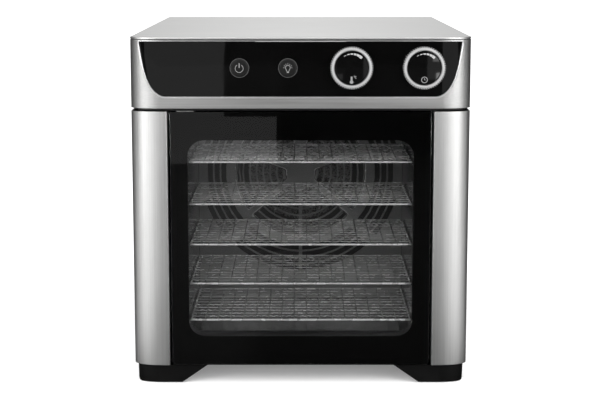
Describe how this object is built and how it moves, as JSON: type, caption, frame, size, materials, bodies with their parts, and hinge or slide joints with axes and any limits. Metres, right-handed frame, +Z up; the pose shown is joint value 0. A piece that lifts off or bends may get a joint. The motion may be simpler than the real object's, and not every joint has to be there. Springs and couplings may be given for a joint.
{
  "type": "food dehydrator",
  "caption": "Front-loading food dehydrator: brushed steel head over rounded pillars, black glass door, stacked wire trays, rear fan with ring heater.",
  "frame": {"origin": "centre of the footprint, on the surface that it stands on", "axes": "+X to the right seen from the front, +Y from the front to the back, +Z up"},
  "size_m": [0.345, 0.4624, 0.3585],
  "materials": {
    "side_panel_left": "brushed",
    "side_panel_right": "brushed",
    "top_cover": "brushed",
    "head_bezel": "brushed",
    "pillar_left": "brushed",
    "pillar_right": "brushed",
    "base_pan": "satin",
    "rear_cover": "satin",
    "chamber_wall_left": "satin",
    "chamber_wall_right": "satin",
    "chamber_floor": "satin",
    "chamber_ceiling": "satin",
    "back_baffle": "satin",
    "fan_motor": "satin",
    "motor_plate": "satin",
    "heater_ring": "satin",
    "door_strike_lower": "satin",
    "door_strike_upper": "satin",
    "hinge_plate_lower": "satin",
    "hinge_plate_upper": "satin",
    "cord_gland": "matt",
    "head_floor": "matt",
    "front_frame": "matt",
    "thermostat": "matt",
    "display_module_left": "matt",
    "display_module_right": "matt",
    "switch_power": "matt",
    "switch_light": "matt",
    "door_frame": "matt",
    "foot_front_left": "matt",
    "foot_front_right": "matt",
    "foot_rear_left": "matt",
    "foot_rear_right": "matt",
    "control_panel": "gloss",
    "knob_face_left": "gloss",
    "knob_face_right": "gloss",
    "button_power": "gloss",
    "button_light": "gloss",
    "tray_rack_left": "polished",
    "tray_rack_right": "polished",
    "tray_1": "polished",
    "tray_2": "polished",
    "tray_3": "polished",
    "tray_4": "polished",
    "tray_5": "polished",
    "knob_ring_left": "polished",
    "knob_ring_right": "polished",
    "fan_shaft": "polished",
    "door_glass": "gloss",
    "door_inner_glass": "gloss",
    "lamp_cover": "gloss",
    "door_gasket": "matt",
    "foot_pad_front_left": "matt",
    "foot_pad_front_right": "matt",
    "foot_pad_rear_left": "matt",
    "foot_pad_rear_right": "matt",
    "catch_magnet_lower": "matt",
    "catch_magnet_upper": "matt",
    "control_board": "satin",
    "fan_impeller": "satin"
  },
  "bodies": {
    "cabinet": {"side_panel_left": "side_panel_left", "side_panel_right": "side_panel_right", "top_cover": "top_cover", "head_bezel": "head_bezel", "pillar_left": "pillar_left", "pillar_right": "pillar_right", "base_pan": "base_pan", "rear_cover": "rear_cover", "chamber_wall_left": "chamber_wall_left", "chamber_wall_right": "chamber_wall_right", "chamber_floor": "chamber_floor", "chamber_ceiling": "chamber_ceiling", "back_baffle": "back_baffle", "fan_motor": "fan_motor", "motor_plate": "motor_plate", "heater_ring": "heater_ring", "hinge_plate_lower": "hinge_plate_lower", "hinge_plate_upper": "hinge_plate_upper", "cord_gland": "cord_gland", "head_floor": "head_floor", "front_frame": "front_frame", "thermostat": "thermostat", "display_module_left": "display_module_left", "display_module_right": "display_module_right", "switch_power": "switch_power", "switch_light": "switch_light", "foot_front_left": "foot_front_left", "foot_front_right": "foot_front_right", "foot_rear_left": "foot_rear_left", "foot_rear_right": "foot_rear_right", "control_panel": "control_panel", "knob_face_left": "knob_face_left", "knob_face_right": "knob_face_right", "tray_rack_left": "tray_rack_left", "tray_rack_right": "tray_rack_right", "tray_1": "tray_1", "tray_2": "tray_2", "tray_3": "tray_3", "tray_4": "tray_4", "tray_5": "tray_5", "lamp_cover": "lamp_cover", "foot_pad_front_left": "foot_pad_front_left", "foot_pad_front_right": "foot_pad_front_right", "foot_pad_rear_left": "foot_pad_rear_left", "foot_pad_rear_right": "foot_pad_rear_right", "catch_magnet_lower": "catch_magnet_lower", "catch_magnet_upper": "catch_magnet_upper", "control_board": "control_board"},
    "door": {"door_glass": "door_glass", "door_frame": "door_frame", "door_inner_glass": "door_inner_glass", "door_gasket": "door_gasket", "door_strike_lower": "door_strike_lower", "door_strike_upper": "door_strike_upper"},
    "left_ring": {"knob_ring_left": "knob_ring_left"},
    "right_ring": {"knob_ring_right": "knob_ring_right"},
    "power_button": {"button_power": "button_power"},
    "light_button": {"button_light": "button_light"},
    "fan": {"fan_impeller": "fan_impeller", "fan_shaft": "fan_shaft"}
  },
  "joints": [
    {"name": "door_hinge", "type": "hinge", "parent": "cabinet", "child": "door", "pos_m": [-0.1244, -0.219, 0.15], "axis": [0, 0, -1], "range_deg": [0, 95]},
    {"name": "left_ring_turn", "type": "hinge", "parent": "cabinet", "child": "left_ring", "pos_m": [0.0513, -0.2282, 0.3278], "axis": [0, -1, 0], "continuous": true},
    {"name": "right_ring_turn", "type": "hinge", "parent": "cabinet", "child": "right_ring", "pos_m": [0.1241, -0.2282, 0.3278], "axis": [0, -1, 0], "continuous": true},
    {"name": "power_push", "type": "slide", "parent": "cabinet", "child": "power_button", "axis": [0, 1, 0], "range_m": [0, 0.0015], "stiffness_N_per_m": 300, "springref_m": -0.0005},
    {"name": "light_push", "type": "slide", "parent": "cabinet", "child": "light_button", "axis": [0, 1, 0], "range_m": [0, 0.0015], "stiffness_N_per_m": 300, "springref_m": -0.0005},
    {"name": "fan_spin", "type": "hinge", "parent": "cabinet", "child": "fan", "pos_m": [0, 0.015, 0.19], "axis": [0, 1, 0], "continuous": true}
  ]
}
